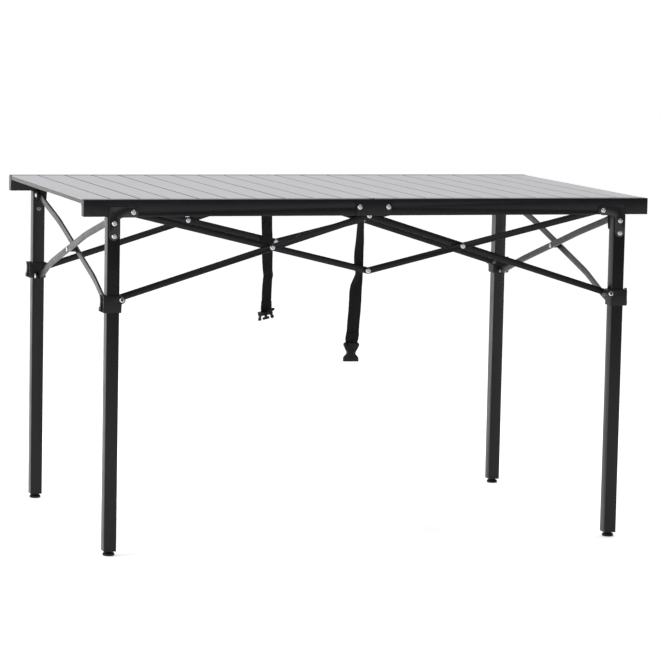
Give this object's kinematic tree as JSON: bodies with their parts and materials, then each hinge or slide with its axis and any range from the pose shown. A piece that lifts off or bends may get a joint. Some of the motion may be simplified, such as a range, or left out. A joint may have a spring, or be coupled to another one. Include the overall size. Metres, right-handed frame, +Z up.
{
  "type": "folding camping table",
  "caption": "Camping table with a roll-up top of aluminium slats on a black gather-fold frame with scissor bars, sliding collars and levelling feet.",
  "frame": {"origin": "on the floor under the middle of the top", "axes": "+X along the long side to the right, +Y to the back, +Z up"},
  "size_m": [1.18, 0.71, 0.7],
  "materials": {
    "black_paint": "semi-gloss powder coat",
    "slat_aluminium": "satin anodised",
    "black_plastic": "moulded, fine grain",
    "webbing": "woven webbing",
    "zinc": "bright zinc plate"
  },
  "bodies": {
    "front_left_leg": {"leg_front_left": "black_paint", "corner_plate_front_left": "black_paint"},
    "front_right_leg": {"leg_front_right": "black_paint", "corner_plate_front_right": "black_paint"},
    "back_left_leg": {"leg_back_left": "black_paint", "corner_plate_back_left": "black_paint"},
    "back_right_leg": {"leg_back_right": "black_paint", "corner_plate_back_right": "black_paint"},
    "front_left_rail": {"rail_front_left": "black_paint"},
    "front_left_high_bar": {"high_bar_front_left": "black_paint"},
    "front_left_low_bar": {"low_bar_front_left": "black_paint"},
    "front_left_slider": {"slider_front_left": "black_plastic"},
    "front_left_latch": {"latch_lever_front_left": "black_plastic"},
    "front_left_foot": {"foot_front_left": "black_plastic"},
    "front_right_rail": {"rail_front_right": "black_paint"},
    "front_right_high_bar": {"high_bar_front_right": "black_paint"},
    "front_right_low_bar": {"low_bar_front_right": "black_paint"},
    "front_right_slider": {"slider_front_right": "black_plastic"},
    "front_right_latch": {"latch_lever_front_right": "black_plastic"},
    "front_right_foot": {"foot_front_right": "black_plastic"},
    "back_left_rail": {"rail_back_left": "black_paint"},
    "back_left_high_bar": {"high_bar_back_left": "black_paint"},
    "back_left_low_bar": {"low_bar_back_left": "black_paint"},
    "back_left_slider": {"slider_back_left": "black_plastic"},
    "back_left_latch": {"latch_lever_back_left": "black_plastic"},
    "back_left_foot": {"foot_back_left": "black_plastic"},
    "back_right_rail": {"rail_back_right": "black_paint"},
    "back_right_high_bar": {"high_bar_back_right": "black_paint"},
    "back_right_low_bar": {"low_bar_back_right": "black_paint"},
    "back_right_slider": {"slider_back_right": "black_plastic"},
    "back_right_latch": {"latch_lever_back_right": "black_plastic"},
    "back_right_foot": {"foot_back_right": "black_plastic"},
    "front_bracket": {"centre_bracket_front": "black_paint"},
    "front_strap": {"strap_front": "webbing"},
    "back_bracket": {"centre_bracket_back": "black_paint"},
    "back_strap": {"strap_back": "webbing"},
    "left_outer_end_bar": {"end_bar_outer_left": "black_paint"},
    "left_inner_end_bar": {"end_bar_inner_left": "black_paint"},
    "right_outer_end_bar": {"end_bar_outer_right": "black_paint"},
    "right_inner_end_bar": {"end_bar_inner_right": "black_paint"},
    "top_slat_01": {"slat_01": "slat_aluminium"},
    "top_slat_02": {"slat_02": "slat_aluminium"},
    "top_slat_03": {"slat_03": "slat_aluminium"},
    "top_slat_04": {"slat_04": "slat_aluminium"},
    "top_slat_05": {"slat_05": "slat_aluminium"},
    "top_slat_06": {"slat_06": "slat_aluminium"},
    "top_slat_07": {"slat_07": "slat_aluminium"},
    "top_slat_08": {"slat_08": "slat_aluminium"},
    "top_slat_09": {"slat_09": "slat_aluminium"},
    "top_slat_10": {"slat_10": "slat_aluminium"},
    "top_slat_11": {"slat_11": "slat_aluminium"},
    "top_slat_12": {"slat_12": "slat_aluminium"},
    "top_slat_13": {"slat_13": "slat_aluminium"},
    "top_slat_14": {"slat_14": "slat_aluminium"},
    "top_slat_15": {"slat_15": "slat_aluminium"},
    "top_slat_16": {"slat_16": "slat_aluminium"},
    "top_slat_17": {"slat_17": "slat_aluminium"},
    "top_slat_18": {"slat_18": "slat_aluminium"},
    "top_slat_19": {"slat_19": "slat_aluminium"},
    "top_slat_20": {"slat_20": "slat_aluminium"}
  },
  "joints": [
    {"name": "rail_fold", "type": "hinge", "parent": "front_bracket", "child": "front_left_rail", "pos_m": [-0.03, -0.35, 0.684], "axis": [0, 1, 0], "range_deg": [0, 81.83]},
    {"name": "front_bracket_right_pin", "type": "hinge", "parent": "front_bracket", "child": "front_right_rail", "pos_m": [0.03, -0.35, 0.684], "axis": [0, 1, 0], "range_deg": [-81.83, 0]},
    {"name": "front_left_rail_pin", "type": "hinge", "parent": "front_left_rail", "child": "front_left_leg", "pos_m": [-0.4915, -0.35, 0.6755], "axis": [0, 1, 0], "range_deg": [-81.83, 0]},
    {"name": "front_right_rail_pin", "type": "hinge", "parent": "front_right_rail", "child": "front_right_leg", "pos_m": [0.4915, -0.35, 0.6755], "axis": [0, 1, 0], "range_deg": [0, 81.83]},
    {"name": "left_outer_bar_high_pin", "type": "hinge", "parent": "front_left_leg", "child": "left_outer_end_bar", "pos_m": [-0.5288, -0.31575, 0.6589], "axis": [1, 0, 0], "range_deg": [-60.73, 0]},
    {"name": "left_end_cross_pin", "type": "hinge", "parent": "left_outer_end_bar", "child": "left_inner_end_bar", "pos_m": [-0.5288, 0, 0.57195], "axis": [1, 0, 0], "range_deg": [0, 121.46]},
    {"name": "left_inner_bar_high_pin", "type": "hinge", "parent": "left_inner_end_bar", "child": "back_left_leg", "pos_m": [-0.5288, 0.31575, 0.6589], "axis": [1, 0, 0], "range_deg": [-60.73, 0]},
    {"name": "right_inner_bar_high_pin", "type": "hinge", "parent": "front_right_leg", "child": "right_inner_end_bar", "pos_m": [0.5288, -0.31575, 0.6589], "axis": [1, 0, 0], "range_deg": [-60.73, 0]},
    {"name": "right_end_cross_pin", "type": "hinge", "parent": "right_inner_end_bar", "child": "right_outer_end_bar", "pos_m": [0.5288, 0, 0.57195], "axis": [1, 0, 0], "range_deg": [0, 121.46]},
    {"name": "right_outer_bar_high_pin", "type": "hinge", "parent": "right_outer_end_bar", "child": "back_right_leg", "pos_m": [0.5288, 0.31575, 0.6589], "axis": [1, 0, 0], "range_deg": [-60.73, 0]},
    {"name": "back_left_rail_pin", "type": "hinge", "parent": "back_left_leg", "child": "back_left_rail", "pos_m": [-0.4915, 0.35, 0.6755], "axis": [0, 1, 0], "range_deg": [0, 81.83]},
    {"name": "back_bracket_left_pin", "type": "hinge", "parent": "back_left_rail", "child": "back_bracket", "pos_m": [-0.03, 0.35, 0.684], "axis": [0, 1, 0], "range_deg": [-81.83, 0]},
    {"name": "back_right_rail_pin", "type": "hinge", "parent": "back_right_leg", "child": "back_right_rail", "pos_m": [0.4915, 0.35, 0.6755], "axis": [0, 1, 0], "range_deg": [-81.83, 0]},
    {"name": "front_left_high_bar_pin", "type": "hinge", "parent": "front_left_leg", "child": "front_left_high_bar", "pos_m": [-0.51877, -0.318, 0.67884], "axis": [0, 1, 0], "range_deg": [0, 62.1]},
    {"name": "front_left_cross_pin", "type": "hinge", "parent": "front_left_high_bar", "child": "front_left_low_bar", "pos_m": [-0.20032, -0.3195, 0.60239], "axis": [0, 1, 0], "range_deg": [-121.44, 0]},
    {"name": "front_left_slider_pin", "type": "hinge", "parent": "front_left_low_bar", "child": "front_left_slider", "pos_m": [-0.513, -0.335, 0.505], "axis": [0, 1, 0], "range_deg": [0, 59.34]},
    {"name": "front_left_latch_pivot", "type": "hinge", "parent": "front_left_slider", "child": "front_left_latch", "pos_m": [-0.5518, -0.3375, 0.4855], "axis": [0, -1, 0], "range_deg": [0, 12], "stiffness_Nm_per_rad": 0.01, "springref_deg": -28.65},
    {"name": "front_left_foot_thread", "type": "slide", "parent": "front_left_leg", "child": "front_left_foot", "axis": [0, 0, -1], "range_m": [0, 0.01]},
    {"name": "front_right_high_bar_pin", "type": "hinge", "parent": "front_right_leg", "child": "front_right_high_bar", "pos_m": [0.51877, -0.318, 0.67884], "axis": [0, 1, 0], "range_deg": [-62.1, 0]},
    {"name": "front_right_cross_pin", "type": "hinge", "parent": "front_right_high_bar", "child": "front_right_low_bar", "pos_m": [0.20032, -0.3195, 0.60239], "axis": [0, 1, 0], "range_deg": [0, 121.44]},
    {"name": "front_right_slider_pin", "type": "hinge", "parent": "front_right_low_bar", "child": "front_right_slider", "pos_m": [0.513, -0.335, 0.505], "axis": [0, 1, 0], "range_deg": [-59.34, 0]},
    {"name": "front_right_latch_pivot", "type": "hinge", "parent": "front_right_slider", "child": "front_right_latch", "pos_m": [0.5518, -0.3375, 0.4855], "axis": [0, 1, 0], "range_deg": [0, 12], "stiffness_Nm_per_rad": 0.01, "springref_deg": -28.65},
    {"name": "front_right_foot_thread", "type": "slide", "parent": "front_right_leg", "child": "front_right_foot", "axis": [0, 0, -1], "range_m": [0, 0.01]},
    {"name": "back_left_high_bar_pin", "type": "hinge", "parent": "back_left_leg", "child": "back_left_high_bar", "pos_m": [-0.51877, 0.318, 0.67884], "axis": [0, 1, 0], "range_deg": [0, 62.1]},
    {"name": "back_left_cross_pin", "type": "hinge", "parent": "back_left_high_bar", "child": "back_left_low_bar", "pos_m": [-0.20032, 0.3195, 0.60239], "axis": [0, 1, 0], "range_deg": [-121.44, 0]},
    {"name": "back_left_slider_pin", "type": "hinge", "parent": "back_left_low_bar", "child": "back_left_slider", "pos_m": [-0.513, 0.335, 0.505], "axis": [0, 1, 0], "range_deg": [0, 59.34]},
    {"name": "back_left_latch_pivot", "type": "hinge", "parent": "back_left_slider", "child": "back_left_latch", "pos_m": [-0.5518, 0.3375, 0.4855], "axis": [0, -1, 0], "range_deg": [0, 12], "stiffness_Nm_per_rad": 0.01, "springref_deg": -28.65},
    {"name": "back_left_foot_thread", "type": "slide", "parent": "back_left_leg", "child": "back_left_foot", "axis": [0, 0, -1], "range_m": [0, 0.01]},
    {"name": "back_right_high_bar_pin", "type": "hinge", "parent": "back_right_leg", "child": "back_right_high_bar", "pos_m": [0.51877, 0.318, 0.67884], "axis": [0, 1, 0], "range_deg": [-62.1, 0]},
    {"name": "back_right_cross_pin", "type": "hinge", "parent": "back_right_high_bar", "child": "back_right_low_bar", "pos_m": [0.20032, 0.3195, 0.60239], "axis": [0, 1, 0], "range_deg": [0, 121.44]},
    {"name": "back_right_slider_pin", "type": "hinge", "parent": "back_right_low_bar", "child": "back_right_slider", "pos_m": [0.513, 0.335, 0.505], "axis": [0, 1, 0], "range_deg": [-59.34, 0]},
    {"name": "back_right_latch_pivot", "type": "hinge", "parent": "back_right_slider", "child": "back_right_latch", "pos_m": [0.5518, 0.3375, 0.4855], "axis": [0, 1, 0], "range_deg": [0, 12], "stiffness_Nm_per_rad": 0.01, "springref_deg": -28.65},
    {"name": "back_right_foot_thread", "type": "slide", "parent": "back_right_leg", "child": "back_right_foot", "axis": [0, 0, -1], "range_m": [0, 0.01]},
    {"name": "front_strap_loop", "type": "hinge", "parent": "front_left_low_bar", "child": "front_strap", "pos_m": [-0.015, -0.311, 0.66], "axis": [0, 1, 0], "range_deg": [0, 59.34]},
    {"name": "back_strap_loop", "type": "hinge", "parent": "back_left_low_bar", "child": "back_strap", "pos_m": [-0.018, 0.311, 0.66], "axis": [0, 1, 0], "range_deg": [0, 59.34]},
    {"name": "top_lift", "type": "slide", "parent": "front_bracket", "child": "top_slat_10", "axis": [0, 0, 1], "range_m": [0, 0.9284]},
    {"name": "top_roll", "type": "hinge", "parent": "top_slat_10", "child": "top_slat_11", "pos_m": [0, 0, 0.7], "axis": [0, -1, 0], "range_deg": [0, 17]},
    {"name": "slat_12_roll", "type": "hinge", "parent": "top_slat_11", "child": "top_slat_12", "pos_m": [0.059, 0, 0.7], "axis": [0, -1, 0], "range_deg": [0, 17]},
    {"name": "slat_13_roll", "type": "hinge", "parent": "top_slat_12", "child": "top_slat_13", "pos_m": [0.118, 0, 0.7], "axis": [0, -1, 0], "range_deg": [0, 17]},
    {"name": "slat_14_roll", "type": "hinge", "parent": "top_slat_13", "child": "top_slat_14", "pos_m": [0.177, 0, 0.7], "axis": [0, -1, 0], "range_deg": [0, 17]},
    {"name": "slat_15_roll", "type": "hinge", "parent": "top_slat_14", "child": "top_slat_15", "pos_m": [0.236, 0, 0.7], "axis": [0, -1, 0], "range_deg": [0, 17]},
    {"name": "slat_16_roll", "type": "hinge", "parent": "top_slat_15", "child": "top_slat_16", "pos_m": [0.295, 0, 0.7], "axis": [0, -1, 0], "range_deg": [0, 17]},
    {"name": "slat_17_roll", "type": "hinge", "parent": "top_slat_16", "child": "top_slat_17", "pos_m": [0.354, 0, 0.7], "axis": [0, -1, 0], "range_deg": [0, 17]},
    {"name": "slat_18_roll", "type": "hinge", "parent": "top_slat_17", "child": "top_slat_18", "pos_m": [0.413, 0, 0.7], "axis": [0, -1, 0], "range_deg": [0, 17]},
    {"name": "slat_19_roll", "type": "hinge", "parent": "top_slat_18", "child": "top_slat_19", "pos_m": [0.472, 0, 0.7], "axis": [0, -1, 0], "range_deg": [0, 17]},
    {"name": "slat_20_roll", "type": "hinge", "parent": "top_slat_19", "child": "top_slat_20", "pos_m": [0.531, 0, 0.7], "axis": [0, -1, 0], "range_deg": [0, 17]},
    {"name": "slat_09_roll", "type": "hinge", "parent": "top_slat_10", "child": "top_slat_09", "pos_m": [-0.059, 0, 0.7], "axis": [0, 1, 0], "range_deg": [0, 17]},
    {"name": "slat_08_roll", "type": "hinge", "parent": "top_slat_09", "child": "top_slat_08", "pos_m": [-0.118, 0, 0.7], "axis": [0, 1, 0], "range_deg": [0, 17]},
    {"name": "slat_07_roll", "type": "hinge", "parent": "top_slat_08", "child": "top_slat_07", "pos_m": [-0.177, 0, 0.7], "axis": [0, 1, 0], "range_deg": [0, 17]},
    {"name": "slat_06_roll", "type": "hinge", "parent": "top_slat_07", "child": "top_slat_06", "pos_m": [-0.236, 0, 0.7], "axis": [0, 1, 0], "range_deg": [0, 17]},
    {"name": "slat_05_roll", "type": "hinge", "parent": "top_slat_06", "child": "top_slat_05", "pos_m": [-0.295, 0, 0.7], "axis": [0, 1, 0], "range_deg": [0, 17]},
    {"name": "slat_04_roll", "type": "hinge", "parent": "top_slat_05", "child": "top_slat_04", "pos_m": [-0.354, 0, 0.7], "axis": [0, 1, 0], "range_deg": [0, 17]},
    {"name": "slat_03_roll", "type": "hinge", "parent": "top_slat_04", "child": "top_slat_03", "pos_m": [-0.413, 0, 0.7], "axis": [0, 1, 0], "range_deg": [0, 17]},
    {"name": "slat_02_roll", "type": "hinge", "parent": "top_slat_03", "child": "top_slat_02", "pos_m": [-0.472, 0, 0.7], "axis": [0, 1, 0], "range_deg": [0, 17]},
    {"name": "slat_01_roll", "type": "hinge", "parent": "top_slat_02", "child": "top_slat_01", "pos_m": [-0.531, 0, 0.7], "axis": [0, 1, 0], "range_deg": [0, 17]}
  ],
  "couplings": [
    {"joint": "front_bracket_right_pin", "follows": "rail_fold", "ratio": -1},
    {"joint": "front_left_rail_pin", "follows": "rail_fold", "ratio": -1},
    {"joint": "front_right_rail_pin", "follows": "rail_fold", "ratio": 1},
    {"joint": "left_outer_bar_high_pin", "follows": "rail_fold", "ratio": -0.74215},
    {"joint": "left_end_cross_pin", "follows": "rail_fold", "ratio": 1.4843},
    {"joint": "left_inner_bar_high_pin", "follows": "rail_fold", "ratio": -0.74215},
    {"joint": "right_inner_bar_high_pin", "follows": "rail_fold", "ratio": -0.74215},
    {"joint": "right_end_cross_pin", "follows": "rail_fold", "ratio": 1.4843},
    {"joint": "right_outer_bar_high_pin", "follows": "rail_fold", "ratio": -0.74215},
    {"joint": "back_left_rail_pin", "follows": "rail_fold", "ratio": 1},
    {"joint": "back_bracket_left_pin", "follows": "rail_fold", "ratio": -1},
    {"joint": "back_right_rail_pin", "follows": "rail_fold", "ratio": -1},
    {"joint": "front_left_high_bar_pin", "follows": "rail_fold", "ratio": 0.75889},
    {"joint": "front_left_cross_pin", "follows": "rail_fold", "ratio": -1.4841},
    {"joint": "front_left_slider_pin", "follows": "rail_fold", "ratio": 0.72516},
    {"joint": "front_right_high_bar_pin", "follows": "rail_fold", "ratio": -0.75889},
    {"joint": "front_right_cross_pin", "follows": "rail_fold", "ratio": 1.4841},
    {"joint": "front_right_slider_pin", "follows": "rail_fold", "ratio": -0.72516},
    {"joint": "back_left_high_bar_pin", "follows": "rail_fold", "ratio": 0.75889},
    {"joint": "back_left_cross_pin", "follows": "rail_fold", "ratio": -1.4841},
    {"joint": "back_left_slider_pin", "follows": "rail_fold", "ratio": 0.72516},
    {"joint": "back_right_high_bar_pin", "follows": "rail_fold", "ratio": -0.75889},
    {"joint": "back_right_cross_pin", "follows": "rail_fold", "ratio": 1.4841},
    {"joint": "back_right_slider_pin", "follows": "rail_fold", "ratio": -0.72516},
    {"joint": "front_strap_loop", "follows": "rail_fold", "ratio": 0.72516},
    {"joint": "back_strap_loop", "follows": "rail_fold", "ratio": 0.72516},
    {"joint": "top_lift", "follows": "rail_fold", "m_per_rad": 0.65},
    {"joint": "slat_12_roll", "follows": "top_roll", "ratio": 1},
    {"joint": "slat_13_roll", "follows": "top_roll", "ratio": 1},
    {"joint": "slat_14_roll", "follows": "top_roll", "ratio": 1},
    {"joint": "slat_15_roll", "follows": "top_roll", "ratio": 1},
    {"joint": "slat_16_roll", "follows": "top_roll", "ratio": 1},
    {"joint": "slat_17_roll", "follows": "top_roll", "ratio": 1},
    {"joint": "slat_18_roll", "follows": "top_roll", "ratio": 1},
    {"joint": "slat_19_roll", "follows": "top_roll", "ratio": 1},
    {"joint": "slat_20_roll", "follows": "top_roll", "ratio": 1},
    {"joint": "slat_09_roll", "follows": "top_roll", "ratio": 1},
    {"joint": "slat_08_roll", "follows": "top_roll", "ratio": 1},
    {"joint": "slat_07_roll", "follows": "top_roll", "ratio": 1},
    {"joint": "slat_06_roll", "follows": "top_roll", "ratio": 1},
    {"joint": "slat_05_roll", "follows": "top_roll", "ratio": 1},
    {"joint": "slat_04_roll", "follows": "top_roll", "ratio": 1},
    {"joint": "slat_03_roll", "follows": "top_roll", "ratio": 1},
    {"joint": "slat_02_roll", "follows": "top_roll", "ratio": 1},
    {"joint": "slat_01_roll", "follows": "top_roll", "ratio": 1}
  ]
}
